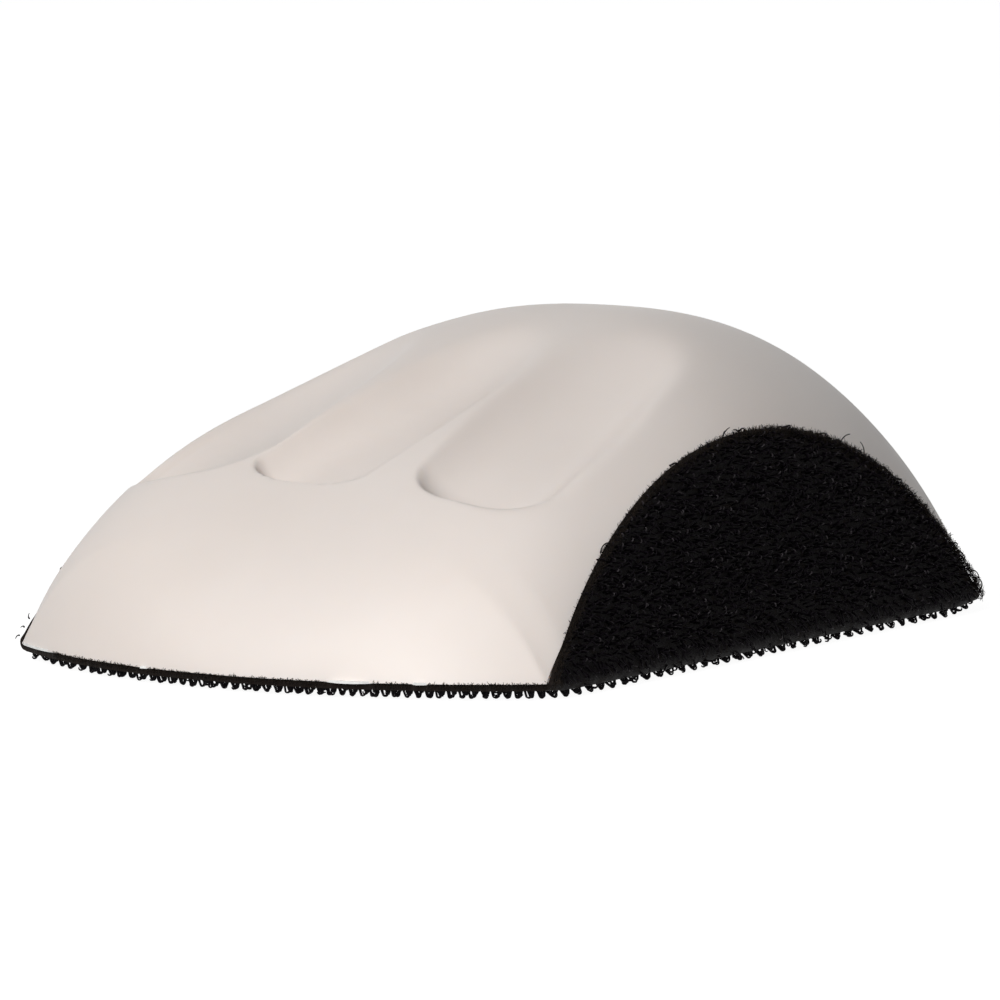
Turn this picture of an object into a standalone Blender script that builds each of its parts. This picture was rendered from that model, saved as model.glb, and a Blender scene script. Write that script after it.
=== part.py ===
# Hand sanding block for round hook-and-loop discs.
#
# A moulded foam block with a domed back and three finger scoops. One round hook disc covers its flat
# base and is folded up over the two long edges of the base, onto flat sides that lean inwards.
# Metres, +Z up. The fingers point along -Y and the folded sides face -X and +X. The block stands on
# its hook tips at Z = 0, with the origin under the middle of the base.

import math

import bmesh
import bpy
import numpy as np

# Sizes of the whole block
DISC_RADIUS = 0.075  # the hook disc as it is cut, and the round ends of the block
BASE_WIDTH = 0.090  # from fold to fold
LEFT_LEAN = math.radians(12)  # the flat sides lean inwards
RIGHT_LEAN = math.radians(8)

# The dome, seen along the middle of the block from the side
CROWN_HEIGHT = 0.0447  # top of the dome over the underside
CROWN_SETBACK = 0.0188  # top of the dome behind the middle of the base
FRONT_SLOPE = math.radians(75.7)  # steepness at the front edge
BACK_SLOPE = math.radians(86.8)  # steepness at the back edge
FRONT_EDGE_PULL_SHARE = 0.61  # curve handles: at an edge a share of the crown's height,
FRONT_CROWN_PULL_SHARE = 0.16  # at the crown a share of the run from edge to crown
BACK_EDGE_PULL_SHARE = 0.62
BACK_CROWN_PULL_SHARE = 0.56

# The dome, seen from the front: how square its shoulders are, at places along the radius
SHOULDER_PLACE_SHARES = (-1.0, -0.64, -0.21, 0.32, 1.0)
SHOULDER_POWERS = (3.6, 5.6, 3.42, 2.67, 2.86)

# The finger scoops. Places along Y are from the middle of the base
SCOOP_PITCH = 0.0245  # from scoop to scoop at their front ends
SCOOP_SHIFT = 0.0049  # how far left of the block's middle the middle scoop starts
SCOOP_SKEW = 0.0027  # how far right of its front end a scoop's back end is
SCOOP_DRIFT = 0.0008  # how far an outer scoop comes in towards the middle one at its back end
MIDDLE_SCOOP_START_Y = -0.0490
MIDDLE_SCOOP_END_Y = -0.0026
MIDDLE_SCOOP_DEPTH = 0.0052
MIDDLE_SCOOP_TIP = 0.0082  # length of its rounded front end
OUTER_SCOOP_START_Y = -0.0487
OUTER_SCOOP_END_Y = 0.0050
OUTER_SCOOP_DEPTH = 0.0067
OUTER_SCOOP_TIP = 0.0162
SCOOP_LEFT_WIDTH = 0.0124  # from a scoop's line to its rim, towards another scoop
SCOOP_RIGHT_WIDTH = 0.0132
FAR_LEFT_WIDTH = 0.0112  # the same, on the side of an outer scoop that no other scoop is next to
FAR_RIGHT_WIDTH = 0.0142
OUTER_WIDTH_SHARE = 1.05  # an outer scoop's width over the middle one's
SCOOP_LIP = 0.0006  # rounding of the scoops' rims
SCOOP_SIDE_POWER = 2.1
FAR_LEFT_POWER = 1.85
FAR_RIGHT_POWER = 1.85
SCOOP_TIP_POWER = 2.05
SCOOP_FADE_POWER = 2.3  # a scoop keeps its depth longer with a higher power

# The layers under the block, from the foam outwards
LAYER_GAP = 0.0003
FILM_THICKNESS = 0.00015
BACKING_THICKNESS = 0.0003
SLICE_THICKNESS = 0.00015  # the slice of backing that a pile of hooks stands on

# The pile of hooks
HOOK_PITCH = 0.0060
HOOK_MARGIN = 0.0020  # bare edge of the disc
HOOK_WIDTH = 0.0016
HOOK_LENGTH = 0.0016
HOOK_CUT = 0.0005  # what is cut off flat at the tips, where the block stands on them
HOOK_KNEE_SHARE = 0.5  # where a hook bends, along its cut length

# Fineness of the meshes
DOME_COLUMNS = 48
DOME_ROWS = 60
PROFILE_POINTS = 200
FLAT_STRIPS = 12
BEND_STRIPS = 4
SIDE_STRIPS = 10
DISC_SEGMENTS = 96
MERGE_DISTANCE = 0.000001
SHARP_ANGLE = math.radians(35)
LOOKS_DOWN = -0.5  # a face looks down where its normal's Z is below this
WHOLE_CELL_SHARE = 0.99  # a hook's cell is whole if it keeps this share of its area

# Worked out from the sizes above
HALF_WIDTH = BASE_WIDTH / 2
SIDE_HEIGHT = DISC_RADIUS - HALF_WIDTH
FILM_OFFSET = LAYER_GAP
BACKING_OFFSET = FILM_OFFSET + FILM_THICKNESS + LAYER_GAP
SLICE_OFFSET = BACKING_OFFSET + BACKING_THICKNESS + LAYER_GAP
HOOK_REACH = HOOK_LENGTH - HOOK_CUT
BODY_LIFT = SLICE_OFFSET + SLICE_THICKNESS + HOOK_REACH


def clear_scene():
    for old in list(bpy.data.objects):
        bpy.data.objects.remove(old, do_unlink=True)


def make_material(name, colour, roughness):
    material = bpy.data.materials.new(name)
    material.use_nodes = True
    shader = material.node_tree.nodes["Principled BSDF"]
    shader.inputs["Base Color"].default_value = (*colour, 1)
    shader.inputs["Roughness"].default_value = roughness
    shader.inputs["Metallic"].default_value = 0
    return material


def add_piece(name, mesh, material, collection, parent):
    """A named object for one sub-part, with its material, under the block's empty."""
    piece = bpy.data.objects.new(name, mesh)
    mesh.materials.clear()
    mesh.materials.append(material)
    collection.objects.link(piece)
    piece.parent = parent
    return piece


def to_mesh(bm, name):
    """A mesh shaded smooth but for its sharp edges."""
    mesh = bpy.data.meshes.new(name)
    bm.to_mesh(mesh)
    bm.free()
    mesh.shade_smooth()
    mesh.set_sharp_from_angle(angle=SHARP_ANGLE)
    return mesh


# The shape of the block

def side_rise(y):
    """How far a folded side reaches above its fold, measured along the side."""
    return np.maximum(np.sqrt(np.maximum(DISC_RADIUS**2 - y**2, 0)) - HALF_WIDTH, 0)


def lean_at(x):
    return np.where(x < 0, LEFT_LEAN, RIGHT_LEAN)


def half_profile(slope, edge_share, crown_share, run):
    """A cubic curve from an edge of the base up to the crown: distances in from the edge, and heights."""
    t = np.linspace(0, 1, PROFILE_POINTS)
    near_edge, near_crown, at_crown = 3 * t * (1 - t) ** 2, 3 * t**2 * (1 - t), t**3
    edge_pull = edge_share * CROWN_HEIGHT
    inwards = near_edge * edge_pull * math.cos(slope) + near_crown * (1 - crown_share) * run + at_crown * run
    upwards = near_edge * edge_pull * math.sin(slope) + (near_crown + at_crown) * CROWN_HEIGHT
    return inwards, upwards


def crown_line(y):
    """Height of the dome along its middle, without the scoops."""
    front_run, back_run = DISC_RADIUS + CROWN_SETBACK, DISC_RADIUS - CROWN_SETBACK
    front = half_profile(FRONT_SLOPE, FRONT_EDGE_PULL_SHARE, FRONT_CROWN_PULL_SHARE, front_run)
    back = half_profile(BACK_SLOPE, BACK_EDGE_PULL_SHARE, BACK_CROWN_PULL_SHARE, back_run)
    return np.where(y < CROWN_SETBACK, np.interp(DISC_RADIUS + y, *front), np.interp(DISC_RADIUS - y, *back))


def shoulder_power(y):
    """The power of the dome's cross-section, eased from one stated place to the next."""
    places = DISC_RADIUS * np.array(SHOULDER_PLACE_SHARES)
    power = np.full_like(y, SHOULDER_POWERS[0])
    for i in range(len(places) - 1):
        t = np.clip((y - places[i]) / (places[i + 1] - places[i]), 0, 1)
        power = power + (SHOULDER_POWERS[i + 1] - SHOULDER_POWERS[i]) * t * t * (3 - 2 * t)
    return power


def scoop_depth(x, y, side):
    """Depth of one finger scoop: side is 0 for the middle one, -1 and 1 for the outer ones."""
    start_x = side * SCOOP_PITCH - SCOOP_SHIFT
    start_y = OUTER_SCOOP_START_Y if side else MIDDLE_SCOOP_START_Y
    run_x = SCOOP_SKEW - side * SCOOP_DRIFT
    run_y = (OUTER_SCOOP_END_Y if side else MIDDLE_SCOOP_END_Y) - start_y
    length = math.hypot(run_x, run_y)
    along = ((x - start_x) * run_x + (y - start_y) * run_y) / length
    across = ((x - start_x) * run_y - (y - start_y) * run_x) / length
    depth = OUTER_SCOOP_DEPTH if side else MIDDLE_SCOOP_DEPTH
    tip_length = OUTER_SCOOP_TIP if side else MIDDLE_SCOOP_TIP
    outside = across * side > 0
    width = np.where(across > 0, SCOOP_RIGHT_WIDTH, SCOOP_LEFT_WIDTH) * (OUTER_WIDTH_SHARE if side else 1)
    width = np.where(outside, FAR_LEFT_WIDTH if side < 0 else FAR_RIGHT_WIDTH, width)
    power = np.where(outside, FAR_LEFT_POWER if side < 0 else FAR_RIGHT_POWER, SCOOP_SIDE_POWER)
    walls = (np.abs(across) / width) ** power
    fade = np.clip((along - tip_length) / (length - tip_length), 0, None) ** SCOOP_FADE_POWER
    tip = (np.clip(tip_length - along, 0, None) / tip_length) ** SCOOP_TIP_POWER
    return SCOOP_LIP * np.logaddexp(0, depth * (1 - fade - walls - tip) / SCOOP_LIP)


def dome_height(x, y):
    """Height of the block's back over its underside. Each cross-section is a power curve that springs
    from the tops of the two folded sides, or from the round edge of the base in front of and behind them."""
    rise = side_rise(y)
    over_sides = HALF_WIDTH - rise * np.sin(lean_at(x))
    over_ends = np.sqrt(np.maximum(DISC_RADIUS**2 - y**2, MERGE_DISTANCE**2))
    reach = np.where(rise > 0, over_sides, over_ends)
    share = np.clip(np.abs(x) / reach, 0, 1)
    spring = rise * np.cos(lean_at(x))
    dome = spring + (crown_line(y) - spring) * (1 - share ** shoulder_power(y))
    for side in (-1, 0, 1):
        dome = dome - scoop_depth(x, y, side)
    return dome


def grip_body_mesh():
    """A grid spread over the four-cornered plan of the block and raised to the dome, closed by its two
    flat sides and its flat underside."""
    bm = bmesh.new()
    bmesh.ops.create_grid(bm, x_segments=DOME_COLUMNS, y_segments=DOME_ROWS, size=1)
    bm.verts.ensure_lookup_table()
    u, v = np.array([vert.co[:2] for vert in bm.verts]).T
    on_side, on_end = np.isclose(np.abs(u), 1), np.isclose(np.abs(v), 1)
    # rows and columns lie closer together towards the edges, where the dome is steep
    across = (u + np.sin(u * math.pi / 2)) / 2
    along = (v + np.sin(v * math.pi / 2)) / 2
    y = along * np.sqrt(DISC_RADIUS**2 - (HALF_WIDTH * across) ** 2)
    rise = np.where(on_end, 0, side_rise(y))
    x = across * (HALF_WIDTH - rise * np.sin(lean_at(across)))
    z = np.where(on_side | on_end, rise * np.cos(lean_at(across)), dome_height(x, y))
    for vert, place in zip(bm.verts, np.column_stack((x, y, z))):
        vert.co = place
    verts = np.array(bm.verts[:], dtype=object)
    for side in (verts[on_side & (u < 0)], verts[on_side & (u > 0)]):
        bm.faces.new(sorted(side, key=lambda vert: vert.co.y))
    front = sorted(verts[on_end & (v < 0)], key=lambda vert: vert.co.x)
    back = sorted(verts[on_end & (v > 0)], key=lambda vert: -vert.co.x)
    bm.faces.new(front + back)
    bmesh.ops.recalc_face_normals(bm, faces=bm.faces)
    return to_mesh(bm, "grip_body")


# The folded layers

def fold_section(offset, lean):
    """Half of the folded disc's cross-section at an offset from the foam, from the middle of the base out
    to the top of a side with this lean: x, z, and half the length of the disc there."""
    flat = np.linspace(0, 1, FLAT_STRIPS + 1)[:-1] * HALF_WIDTH
    turn = np.linspace(0, math.pi / 2 + lean, BEND_STRIPS + 1)
    up = np.sin(np.linspace(0, math.pi / 2, SIDE_STRIPS + 1))[1:] * SIDE_HEIGHT
    x = np.concatenate((flat, HALF_WIDTH + offset * np.sin(turn),
                        HALF_WIDTH + offset * math.cos(lean) - up * math.sin(lean)))
    z = np.concatenate((0 * flat - offset, -offset * np.cos(turn),
                        offset * math.sin(lean) + up * math.cos(lean)))
    out = np.concatenate((flat, HALF_WIDTH + 0 * turn, HALF_WIDTH + up))
    return x, z, np.sqrt(np.maximum(DISC_RADIUS**2 - out**2, 0))


def folded_sheet_mesh(name, offset):
    """The inner face of a round sheet folded round the foam, in strips that run along the folds."""
    left_x, left_z, left_y = fold_section(offset, LEFT_LEAN)
    right_x, right_z, right_y = fold_section(offset, RIGHT_LEAN)
    section_x = np.concatenate((-left_x[:0:-1], right_x))
    section_z = np.concatenate((left_z[:0:-1], right_z))
    section_y = np.concatenate((left_y[:0:-1], right_y))
    bm = bmesh.new()
    bmesh.ops.create_grid(bm, x_segments=len(section_x) - 1, y_segments=1, size=1)
    for vert in bm.verts:
        i = round((vert.co.x + 1) / 2 * (len(section_x) - 1))
        vert.co = (section_x[i], vert.co.y * section_y[i], section_z[i])
    bmesh.ops.remove_doubles(bm, verts=bm.verts, dist=MERGE_DISTANCE)
    return to_mesh(bm, name)


def thicken_outwards(piece, thickness):
    """Thickness away from the foam, which is against the normals of the sheet's inner face."""
    solidify = piece.modifiers.new("thickness", "SOLIDIFY")
    solidify.thickness = thickness
    solidify.offset = -1
    solidify.use_even_offset = True


# The piles of hooks

def trim(bm, x, outward):
    """Cuts off what lies past x and closes the cut."""
    cut = bmesh.ops.bisect_plane(bm, geom=bm.verts[:] + bm.edges[:] + bm.faces[:], dist=MERGE_DISTANCE,
                                 plane_co=(x, 0, 0), plane_no=(outward, 0, 0), clear_outer=True)
    edges = [item for item in cut["geom_cut"] if isinstance(item, bmesh.types.BMEdge)]
    bmesh.ops.contextual_create(bm, geom=edges)


def score(bm, place, normal):
    """Divides the hook face along a line, and leaves the rest of the slice as it is."""
    faces = [face for face in bm.faces if face.normal.z < LOOKS_DOWN]
    edges = {edge for face in faces for edge in face.edges}
    verts = {vert for face in faces for vert in face.verts}
    bmesh.ops.bisect_plane(bm, geom=[*verts, *edges, *faces], dist=MERGE_DISTANCE,
                           plane_co=place, plane_no=normal)


def whole_cells(bm, inner_x, width, length):
    """The whole cells of the hook face that keep clear of the disc's bare edge, by row and column."""
    least_area = WHOLE_CELL_SHARE * width * length
    inside = DISC_RADIUS - HOOK_MARGIN
    cells = {}
    for face in bm.faces:
        if face.normal.z > LOOKS_DOWN or len(face.verts) != 4 or face.calc_area() < least_area:
            continue
        if all(vert.co.xy.length < inside for vert in face.verts):
            middle = face.calc_center_median()
            cells[round(middle.y / length), int((middle.x - inner_x) / width)] = face
    return sorted(cells.items())


def raise_hook(bm, cell, lean_forward):
    """One three-sided hook on half of a cell: upright to its knee, then over to the middle of the cell,
    where its tip is cut flat."""
    middle = cell.calc_center_median()
    corners = sorted(cell.verts, key=lambda vert: math.atan2(vert.co.y - middle.y, vert.co.x - middle.x))
    kept = corners[0] if lean_forward else corners[2]
    bmesh.utils.face_split(cell, corners[1], corners[3])
    face = next(half for half in kept.link_faces if corners[1] in half.verts and corners[3] in half.verts)
    root = face.calc_center_median()
    size = HOOK_WIDTH / (corners[1].co - kept.co).length
    knee = HOOK_REACH * HOOK_KNEE_SHARE
    steps = ((0, 0, 0), (0, 0, -knee), (middle.x - root.x, middle.y - root.y, knee - HOOK_REACH))
    for i, step in enumerate(steps):
        face = bmesh.ops.extrude_discrete_faces(bm, faces=[face])["faces"][0]
        if i == 0:
            for vert in face.verts:
                vert.co = root + (vert.co - root) * size
        bmesh.ops.translate(bm, verts=face.verts, vec=step)


def odd_count(length):
    """How many hook cells fit along a length, made odd so that one of them is at its middle."""
    return 2 * math.ceil(length / HOOK_PITCH / 2) - 1


def hook_pile_mesh(name, inner_x, outer_x):
    """A slice of flat backing between inner_x and outer_x of the disc, hook side down, with its hooks."""
    bm = bmesh.new()
    bmesh.ops.create_cone(bm, cap_ends=True, segments=DISC_SEGMENTS, radius1=DISC_RADIUS, radius2=DISC_RADIUS,
                          depth=SLICE_THICKNESS)
    bmesh.ops.translate(bm, verts=bm.verts, vec=(0, 0, SLICE_THICKNESS / 2 - SLICE_OFFSET - SLICE_THICKNESS))
    trim(bm, inner_x, -1)
    if outer_x < DISC_RADIUS:
        trim(bm, outer_x, 1)
    bmesh.ops.recalc_face_normals(bm, faces=bm.faces)
    columns = odd_count(outer_x - inner_x)
    rows = odd_count(2 * DISC_RADIUS)
    width, length = (outer_x - inner_x) / columns, 2 * DISC_RADIUS / rows
    for i in range(1, columns):
        score(bm, (inner_x + i * width, 0, 0), (1, 0, 0))
    for i in range(1, rows):
        score(bm, (0, i * length - DISC_RADIUS, 0), (0, 1, 0))
    cells = whole_cells(bm, inner_x, width, length)
    for (row, column), cell in cells:
        raise_hook(bm, cell, (row + column) % 2 == 0)
    print(name, "has", len(cells), "hooks")
    return to_mesh(bm, name)


def build_block():
    clear_scene()
    collection = bpy.data.collections.new("round_sanding_block")
    bpy.context.scene.collection.children.link(collection)
    block = bpy.data.objects.new("round_sanding_block", None)
    collection.objects.link(block)

    foam = make_material("cream_foam", (0.80, 0.765, 0.715), 0.42)
    adhesive = make_material("pale_adhesive", (0.62, 0.60, 0.55), 0.35)
    weave = make_material("black_weave", (0.016, 0.014, 0.014), 0.85)
    hooks = make_material("black_hooks", (0.010, 0.010, 0.012), 0.45)

    body = add_piece("grip_body", grip_body_mesh(), foam, collection, block)
    body.location.z = BODY_LIFT

    film_mesh = folded_sheet_mesh("adhesive_film", FILM_OFFSET)
    film = add_piece("adhesive_film", film_mesh, adhesive, collection, block)
    film.location.z = BODY_LIFT
    thicken_outwards(film, FILM_THICKNESS)

    backing_mesh = folded_sheet_mesh("hook_disc_backing", BACKING_OFFSET)
    backing = add_piece("hook_disc_backing", backing_mesh, weave, collection, block)
    backing.location.z = BODY_LIFT
    thicken_outwards(backing, BACKING_THICKNESS)

    base_mesh = hook_pile_mesh("base_hooks", -HALF_WIDTH, HALF_WIDTH)
    base = add_piece("base_hooks", base_mesh, hooks, collection, block)
    base.location.z = BODY_LIFT

    # both sides share one mesh, made flat and then folded up about its fold
    side_mesh = hook_pile_mesh("side_hooks", HALF_WIDTH, DISC_RADIUS)
    for vert in side_mesh.vertices:
        vert.co.x -= HALF_WIDTH
    for name, direction, lean, turn in (("right_side_hooks", 1, RIGHT_LEAN, 0),
                                        ("left_side_hooks", -1, LEFT_LEAN, math.pi)):
        side = add_piece(name, side_mesh, hooks, collection, block)
        side.location = (direction * HALF_WIDTH, 0, BODY_LIFT)
        side.rotation_euler = (0, -math.pi / 2 - lean, turn)


build_block()
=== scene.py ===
import math

import bpy
import numpy as np
from mathutils import Matrix, Vector


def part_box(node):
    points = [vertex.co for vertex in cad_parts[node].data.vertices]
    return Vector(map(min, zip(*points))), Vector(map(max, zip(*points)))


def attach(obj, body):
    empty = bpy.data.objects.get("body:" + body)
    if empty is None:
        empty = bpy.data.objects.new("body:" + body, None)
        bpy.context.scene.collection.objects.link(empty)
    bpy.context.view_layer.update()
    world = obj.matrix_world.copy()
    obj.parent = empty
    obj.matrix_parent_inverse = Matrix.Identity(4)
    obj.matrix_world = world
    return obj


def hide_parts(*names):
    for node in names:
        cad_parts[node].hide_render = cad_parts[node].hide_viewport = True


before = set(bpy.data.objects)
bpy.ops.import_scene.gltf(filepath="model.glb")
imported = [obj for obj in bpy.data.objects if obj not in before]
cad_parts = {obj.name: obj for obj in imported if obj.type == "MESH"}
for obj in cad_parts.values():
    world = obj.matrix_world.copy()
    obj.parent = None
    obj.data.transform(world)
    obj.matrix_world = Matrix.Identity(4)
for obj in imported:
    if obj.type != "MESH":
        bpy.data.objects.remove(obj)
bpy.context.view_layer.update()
print("frame loaded:", sorted(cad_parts))

# All lengths are in metres unless a name says mm or deg. The block's own sizes, as its solids have them.
block = dict(
    discRadius=0.075,  # the hook disc as it is cut
    halfWidth=0.045,  # from the middle of the base to a fold
    leftLeanDeg=12,
    rightLeanDeg=8,
    underside=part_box("grip_body")[0].z,  # the foam's underside stands on film, backing and hooks
)
discRadius, halfWidth = block["discRadius"], block["halfWidth"]


def leanAt(x):
    # how far the folded side leans inwards on this half of the block, in radians
    return np.radians(np.where(x < 0, block["leftLeanDeg"], block["rightLeanDeg"]))


# Small makers that every piece uses

def addObject(name, mesh, *nodes, slot, material):
    piece = bpy.data.objects.new(name, mesh)
    bpy.context.scene.collection.objects.link(piece)
    mesh.materials.append(material)
    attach(piece, "root")
    if nodes:
        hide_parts(*nodes)
    return piece


def meshFromFaces(name, points, faces, sharpDeg=None):
    mesh = bpy.data.meshes.new(name)
    mesh.from_pydata(points, [], faces)
    mesh.update()
    mesh.shade_smooth()
    if sharpDeg is not None:
        mesh.set_sharp_from_angle(angle=math.radians(sharpDeg))
    return mesh


def gridQuads(rows, columns, wrapColumns=False):
    # every point of a rows by columns grid, with its right, upper right and upper neighbour
    number = np.arange(rows * columns).reshape(rows, columns)
    if wrapColumns:
        number = np.hstack((number, number[:, :1]))
    corners = (number[:-1, :-1], number[:-1, 1:], number[1:, 1:], number[1:, :-1])
    return np.stack(corners, -1).reshape(-1, 4)


def smoothStep(t):
    t = np.clip(t, 0, 1)
    return t * t * (3 - 2 * t)


def crowdedSteps(count, share):
    # from -1 to 1, closer together towards both ends; share is how much of a sine is mixed in
    even = np.linspace(-1, 1, count)
    return even * (1 - share) + share * np.sin(even * math.pi / 2)


# Camera, set where the photograph was taken from

camera = dict(
    azimuthDeg=32.66,
    elevationDeg=6.44,
    distance=1.490,
    lensMm=364.1,
    sensorMm=36,
    clip=(0.05, 50),
    rollDeg=-0.30,
    lookAt=(0, 0, 0.0226),
    framedRight=-0.00103,  # what the middle of the picture shows, beside and over that point
    framedUp=-0.00243,
)


def makeCamera(values):
    # back points from the block to the camera; right and up span the picture
    turn, lift, roll = (math.radians(values[k]) for k in ("azimuthDeg", "elevationDeg", "rollDeg"))
    back = Vector((math.sin(turn) * math.cos(lift), -math.cos(turn) * math.cos(lift), math.sin(lift)))
    level = Vector((math.cos(turn), math.sin(turn), 0))
    rise = back.cross(level)
    right = level * math.cos(roll) + rise * math.sin(roll)
    up = rise * math.cos(roll) - level * math.sin(roll)
    data = bpy.data.cameras.new("photoCamera")
    data.lens, data.sensor_width = values["lensMm"], values["sensorMm"]
    data.clip_start, data.clip_end = values["clip"]
    view = bpy.data.objects.new("photoCamera", data)
    view.location = Vector(values["lookAt"]) + right * values["framedRight"] + up * values["framedUp"]
    view.location += back * values["distance"]
    view.rotation_mode = "QUATERNION"
    view.rotation_quaternion = Matrix((right, up, back)).transposed().to_quaternion()
    bpy.context.scene.collection.objects.link(view)
    bpy.context.scene.camera = view


makeCamera(camera)
print("camera set")


# Materials

def newMaterial(name):
    material = bpy.data.materials.new(name)
    material.use_nodes = True
    tree = material.node_tree
    return material, tree.nodes, tree.links, tree.nodes["Principled BSDF"]


def noiseNode(nodes, links, place, scale, detail=3):
    noise = nodes.new("ShaderNodeTexNoise")
    noise.inputs["Scale"].default_value = scale
    noise.inputs["Detail"].default_value = detail
    links.new(place, noise.inputs["Vector"])
    return noise


def rampNode(nodes, links, value, stops):
    ramp = nodes.new("ShaderNodeValToRGB")
    while len(ramp.color_ramp.elements) < len(stops):
        ramp.color_ramp.elements.new(0.5)
    for element, (where, colour) in zip(ramp.color_ramp.elements, stops):
        element.position = where
        element.color = (*colour, 1)
    links.new(value, ramp.inputs["Fac"])
    return ramp


def rangeNode(nodes, links, value, low, high, lowTo, highTo):
    mapped = nodes.new("ShaderNodeMapRange")
    for name, number in (("From Min", low), ("From Max", high), ("To Min", lowTo), ("To Max", highTo)):
        mapped.inputs[name].default_value = number
    links.new(value, mapped.inputs["Value"])
    return mapped.outputs["Result"]


def bumpNode(nodes, links, height, strength, distance, shader):
    bump = nodes.new("ShaderNodeBump")
    bump.inputs["Strength"].default_value = strength
    bump.inputs["Distance"].default_value = distance
    links.new(height, bump.inputs["Height"])
    links.new(bump.outputs["Normal"], shader.inputs["Normal"])


noiseSpan = (0.3, 0.7)  # nearly all of a noise texture's values lie between these

foamLook = dict(
    pale=(0.820, 0.748, 0.702),
    deep=(0.790, 0.713, 0.662),
    mottleScale=26,  # patches of a few centimetres
    mottleSpan=(0.36, 0.64),  # noise at which the foam is deepest and palest
    grainScale=1400,  # skin grain under a millimetre
    roughness=(0.33, 0.43),
    specular=0.28,
    subsurface=0.15,
    subsurfaceScale=0.0022,
    subsurfaceRadius=(1.0, 0.8, 0.6),
    grainStrength=0.05,
    grainDistance=0.00006,
)


def foamMaterial(values):
    material, nodes, links, shader = newMaterial("creamFoam")
    place = nodes.new("ShaderNodeTexCoord").outputs["Object"]
    mottle = noiseNode(nodes, links, place, values["mottleScale"], detail=4)
    deepAt, paleAt = values["mottleSpan"]
    colour = rampNode(nodes, links, mottle.outputs["Fac"], ((deepAt, values["deep"]), (paleAt, values["pale"])))
    links.new(colour.outputs["Color"], shader.inputs["Base Color"])
    links.new(rangeNode(nodes, links, mottle.outputs["Fac"], *noiseSpan, *values["roughness"]),
              shader.inputs["Roughness"])
    grain = noiseNode(nodes, links, place, values["grainScale"], detail=2)
    bumpNode(nodes, links, grain.outputs["Fac"], values["grainStrength"], values["grainDistance"], shader)
    shader.inputs["Specular IOR Level"].default_value = values["specular"]
    shader.inputs["Subsurface Weight"].default_value = values["subsurface"]
    shader.inputs["Subsurface Scale"].default_value = values["subsurfaceScale"]
    shader.inputs["Subsurface Radius"].default_value = values["subsurfaceRadius"]
    return material


weaveLook = dict(
    thread=(0.0036, 0.0026, 0.0030),
    gap=(0.0015, 0.0010, 0.0012),
    fade=(0.013, 0.0085, 0.0055),  # brownish fibres, most of them along the cut edge
    edgeBand=0.0022,
    edgeShare=0.45,  # of fade, right at the cut edge
    fuzzScale=900,
    fuzzSpan=(0.55, 0.75),
    fuzzShare=0.6,  # of fade, where the fuzz is thickest
    threadPitch=0.00042,
    threadWaver=0.4,
    roughness=(0.62, 0.9),
    bumpStrength=0.7,
    bumpDistance=0.00012,
    specular=0.1,
)


def weaveMaterial(values):
    material, nodes, links, shader = newMaterial("blackWeave")
    # the sheet's own map, in metres along and across the cloth before it was folded
    place = nodes.new("ShaderNodeUVMap").outputs["UV"]
    threads = []
    for direction in ("X", "Y"):
        wave = nodes.new("ShaderNodeTexWave")
        wave.bands_direction = direction
        # at a scale of 1 a wave texture has a band every pi / 10
        wave.inputs["Scale"].default_value = math.pi / 10 / values["threadPitch"]
        wave.inputs["Distortion"].default_value = values["threadWaver"]
        wave.inputs["Detail"].default_value = 1
        links.new(place, wave.inputs["Vector"])
        threads.append(wave.outputs["Fac"])
    weave = nodes.new("ShaderNodeMath")
    weave.operation = "MULTIPLY"
    links.new(threads[0], weave.inputs[0])
    links.new(threads[1], weave.inputs[1])
    fuzz = noiseNode(nodes, links, place, values["fuzzScale"], detail=4)
    colour = rampNode(nodes, links, weave.outputs["Value"], ((0.0, values["gap"]), (0.6, values["thread"])))
    fromMiddle = nodes.new("ShaderNodeVectorMath")
    fromMiddle.operation = "LENGTH"
    links.new(place, fromMiddle.inputs[0])
    atEdge = rangeNode(nodes, links, fromMiddle.outputs["Value"],
                       discRadius - values["edgeBand"], discRadius - 0.2 * values["edgeBand"],
                       0, values["edgeShare"])
    frayed = nodes.new("ShaderNodeMath")
    frayed.operation = "ADD"
    links.new(rangeNode(nodes, links, fuzz.outputs["Fac"], *values["fuzzSpan"], 0, values["fuzzShare"]),
              frayed.inputs[0])
    links.new(atEdge, frayed.inputs[1])
    worn = nodes.new("ShaderNodeMix")
    worn.data_type = "RGBA"
    links.new(frayed.outputs["Value"], worn.inputs["Factor"])
    links.new(colour.outputs["Color"], worn.inputs["A"])
    worn.inputs["B"].default_value = (*values["fade"], 1)
    links.new(worn.outputs["Result"], shader.inputs["Base Color"])
    links.new(rangeNode(nodes, links, fuzz.outputs["Fac"], *noiseSpan, *values["roughness"]),
              shader.inputs["Roughness"])
    bumpNode(nodes, links, weave.outputs["Value"], values["bumpStrength"], values["bumpDistance"], shader)
    shader.inputs["Specular IOR Level"].default_value = values["specular"]
    return material


hookLook = dict(
    black=(0.0019, 0.0008, 0.0021),
    # pale is a painted glint, given to the few crooks that stand in for highlights
    pale=(0.042, 0.036, 0.040),
    paleFrom=0.2,  # shade up to which they are black
    roughness=(0.55, 0.08),
    specular=0.075,
)


def nylonMaterial(name, values):
    material, nodes, links, shader = newMaterial(name)
    # hooks and hairs carry a shade, 0 for black to 1 for the palest; on a hook's crook the pale is a painted
    # glint, on a hair it is the fibre's own brown
    shade = nodes.new("ShaderNodeAttribute")
    shade.attribute_name = "shade"
    stops = ((values["paleFrom"], values["black"]), (1.0, values["pale"]))
    colour = rampNode(nodes, links, shade.outputs["Fac"], stops)
    links.new(colour.outputs["Color"], shader.inputs["Base Color"])
    links.new(rangeNode(nodes, links, shade.outputs["Fac"], 0, 1, *values["roughness"]),
              shader.inputs["Roughness"])
    shader.inputs["Specular IOR Level"].default_value = values["specular"]
    return material


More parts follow.
